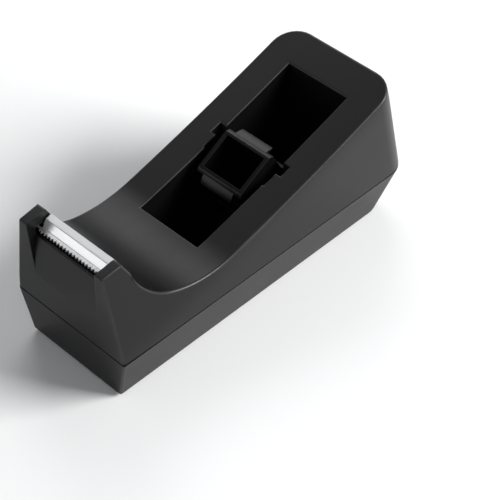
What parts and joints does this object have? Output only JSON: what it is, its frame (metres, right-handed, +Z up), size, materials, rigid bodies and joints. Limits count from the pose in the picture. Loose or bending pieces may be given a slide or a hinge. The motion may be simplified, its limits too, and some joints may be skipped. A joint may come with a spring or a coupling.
{
  "type": "tape dispenser",
  "caption": "Weighted desk dispenser for adhesive tape: wedge body with an open well, a turning moulded core, a curved valley and a toothed steel cutter between two cheeks",
  "frame": {"origin": "middle of the footprint, on the surface that the dispenser stands on", "axes": "X along the body with the cutter at -X and the high back at +X, Y across the body and along the core's axis, Z up"},
  "size_m": [0.132, 0.0464, 0.0559],
  "materials": {
    "shell_plastic": "satin black, fine moulded grain",
    "base_plastic": "satin black, fine moulded grain",
    "core_plastic": "satin black, smooth moulded",
    "pad_foam": "matt closed-cell foam",
    "blade_steel": "bright rolled strip with a fine rolled pattern",
    "ballast_iron": "raw casting",
    "screw_steel": "zinc plated"
  },
  "bodies": {
    "housing": {"upper_shell": "shell_plastic", "base_tray": "base_plastic", "non_slip_pad": "pad_foam", "cutter_blade": "blade_steel", "front_weight": "ballast_iron", "rear_weight": "ballast_iron", "base_screws": "screw_steel"},
    "core": {"tape_core": "core_plastic"}
  },
  "joints": [
    {"name": "core_spin", "type": "hinge", "parent": "housing", "child": "core", "pos_m": [0.0101, 0, 0.0312], "axis": [0, 1, 0], "continuous": true}
  ]
}
